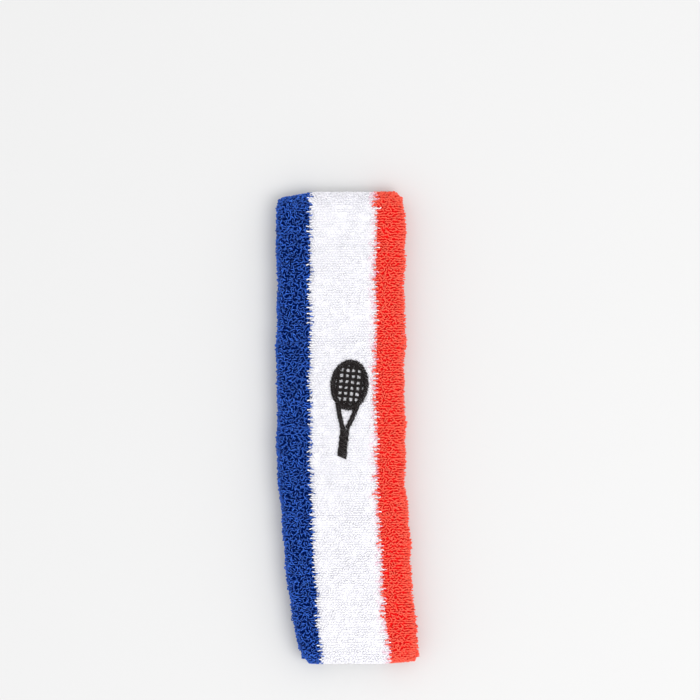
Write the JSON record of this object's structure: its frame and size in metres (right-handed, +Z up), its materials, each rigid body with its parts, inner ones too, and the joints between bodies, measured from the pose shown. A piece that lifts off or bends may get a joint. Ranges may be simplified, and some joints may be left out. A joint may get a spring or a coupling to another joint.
{
  "type": "sports headband",
  "caption": "Soft terry headband in blue, white and red stripes with an embroidered racket, a closed loop lying flattened that opens into a ring.",
  "frame": {"origin": "centre of the bounding box, at the level of the surface that the flattened band lies on", "axes": "+Y along the flattened loop towards its straight upper end, +X across the band from the blue side to the red side, +Z up through the front wall, which carries the embroidery"},
  "size_m": [0.0558, 0.188, 0.0128],
  "materials": {
    "blue_terry": "matt cotton terry loops, royal blue over navy ground",
    "white_terry": "matt cotton terry loops, cool white",
    "red_terry": "matt cotton terry loops, orange red",
    "black_thread": "satin stitch embroidery thread, low sheen",
    "seam_thread": "matt sewing thread",
    "label_satin": "woven satin ribbon"
  },
  "bodies": {
    "back_centre": {"blue_knit_back_centre": "blue_terry", "white_knit_back_centre": "white_terry", "red_knit_back_centre": "red_terry", "seam_overlock_thread": "seam_thread", "care_label": "label_satin", "care_label_stitches": "seam_thread"},
    "back_mid_upper": {"blue_knit_back_mid_upper": "blue_terry", "white_knit_back_mid_upper": "white_terry", "red_knit_back_mid_upper": "red_terry"},
    "back_end_upper": {"blue_knit_back_end_upper": "blue_terry", "white_knit_back_end_upper": "white_terry", "red_knit_back_end_upper": "red_terry"},
    "fold_upper": {"blue_knit_fold_upper": "blue_terry", "white_knit_fold_upper": "white_terry", "red_knit_fold_upper": "red_terry"},
    "front_end_upper": {"blue_knit_front_end_upper": "blue_terry", "white_knit_front_end_upper": "white_terry", "red_knit_front_end_upper": "red_terry"},
    "front_mid_upper": {"blue_knit_front_mid_upper": "blue_terry", "white_knit_front_mid_upper": "white_terry", "red_knit_front_mid_upper": "red_terry", "racket_head_upper_embroidery": "black_thread"},
    "front_centre_upper": {"blue_knit_front_centre_upper": "blue_terry", "white_knit_front_centre_upper": "white_terry", "red_knit_front_centre_upper": "red_terry", "racket_head_lower_embroidery": "black_thread", "racket_throat_embroidery": "black_thread"},
    "back_mid_lower": {"blue_knit_back_mid_lower": "blue_terry", "white_knit_back_mid_lower": "white_terry", "red_knit_back_mid_lower": "red_terry"},
    "back_end_lower": {"blue_knit_back_end_lower": "blue_terry", "white_knit_back_end_lower": "white_terry", "red_knit_back_end_lower": "red_terry"},
    "fold_lower": {"blue_knit_fold_lower": "blue_terry", "white_knit_fold_lower": "white_terry", "red_knit_fold_lower": "red_terry"},
    "front_end_lower": {"blue_knit_front_end_lower": "blue_terry", "white_knit_front_end_lower": "white_terry", "red_knit_front_end_lower": "red_terry"},
    "front_mid_lower": {"blue_knit_front_mid_lower": "blue_terry", "white_knit_front_mid_lower": "white_terry", "red_knit_front_mid_lower": "red_terry"},
    "front_centre_lower": {"blue_knit_front_centre_lower": "blue_terry", "white_knit_front_centre_lower": "white_terry", "red_knit_front_centre_lower": "red_terry", "racket_handle_embroidery": "black_thread"}
  },
  "joints": [
    {"name": "loop_opening", "type": "hinge", "parent": "back_centre", "child": "back_mid_upper", "pos_m": [0, 0.0174, 0.005], "axis": [1, 0, 0], "range_deg": [0, 33]},
    {"name": "back_end_upper_bend", "type": "hinge", "parent": "back_mid_upper", "child": "back_end_upper", "pos_m": [0, 0.0522, 0.005], "axis": [1, 0, 0], "range_deg": [-0.5, 33.5]},
    {"name": "fold_upper_bend", "type": "hinge", "parent": "back_end_upper", "child": "fold_upper", "pos_m": [0, 0.09239, 0.00161], "axis": [1, 0, 0], "range_deg": [-66.5, 0.5]},
    {"name": "front_end_upper_bend", "type": "hinge", "parent": "fold_upper", "child": "front_end_upper", "pos_m": [0, 0.09239, 0.01039], "axis": [1, 0, 0], "range_deg": [-66.5, 0.5]},
    {"name": "front_mid_upper_bend", "type": "hinge", "parent": "front_end_upper", "child": "front_mid_upper", "pos_m": [0, 0.0522, 0.007], "axis": [1, 0, 0], "range_deg": [-0.5, 33.5]},
    {"name": "front_centre_upper_bend", "type": "hinge", "parent": "front_mid_upper", "child": "front_centre_upper", "pos_m": [0, 0.0174, 0.007], "axis": [1, 0, 0], "range_deg": [-0.5, 33.5]},
    {"name": "back_mid_lower_bend", "type": "hinge", "parent": "back_centre", "child": "back_mid_lower", "pos_m": [0, -0.0174, 0.005], "axis": [1, 0, 0], "range_deg": [-33.5, 0.5]},
    {"name": "back_end_lower_bend", "type": "hinge", "parent": "back_mid_lower", "child": "back_end_lower", "pos_m": [0, -0.0522, 0.005], "axis": [1, 0, 0], "range_deg": [-33.5, 0.5]},
    {"name": "fold_lower_bend", "type": "hinge", "parent": "back_end_lower", "child": "fold_lower", "pos_m": [0, -0.09239, 0.00161], "axis": [1, 0, 0], "range_deg": [-0.5, 66.5]},
    {"name": "front_end_lower_bend", "type": "hinge", "parent": "fold_lower", "child": "front_end_lower", "pos_m": [0, -0.09239, 0.01039], "axis": [1, 0, 0], "range_deg": [-0.5, 66.5]},
    {"name": "front_mid_lower_bend", "type": "hinge", "parent": "front_end_lower", "child": "front_mid_lower", "pos_m": [0, -0.0522, 0.007], "axis": [1, 0, 0], "range_deg": [-33.5, 0.5]},
    {"name": "front_centre_lower_bend", "type": "hinge", "parent": "front_mid_lower", "child": "front_centre_lower", "pos_m": [0, -0.0174, 0.007], "axis": [1, 0, 0], "range_deg": [-33.5, 0.5]}
  ],
  "couplings": [
    {"joint": "back_end_upper_bend", "follows": "loop_opening", "ratio": 1},
    {"joint": "fold_upper_bend", "follows": "loop_opening", "ratio": -2},
    {"joint": "front_end_upper_bend", "follows": "loop_opening", "ratio": -2},
    {"joint": "front_mid_upper_bend", "follows": "loop_opening", "ratio": 1},
    {"joint": "front_centre_upper_bend", "follows": "loop_opening", "ratio": 1},
    {"joint": "back_mid_lower_bend", "follows": "loop_opening", "ratio": -1},
    {"joint": "back_end_lower_bend", "follows": "loop_opening", "ratio": -1},
    {"joint": "fold_lower_bend", "follows": "loop_opening", "ratio": 2},
    {"joint": "front_end_lower_bend", "follows": "loop_opening", "ratio": 2},
    {"joint": "front_mid_lower_bend", "follows": "loop_opening", "ratio": -1},
    {"joint": "front_centre_lower_bend", "follows": "loop_opening", "ratio": -1}
  ]
}
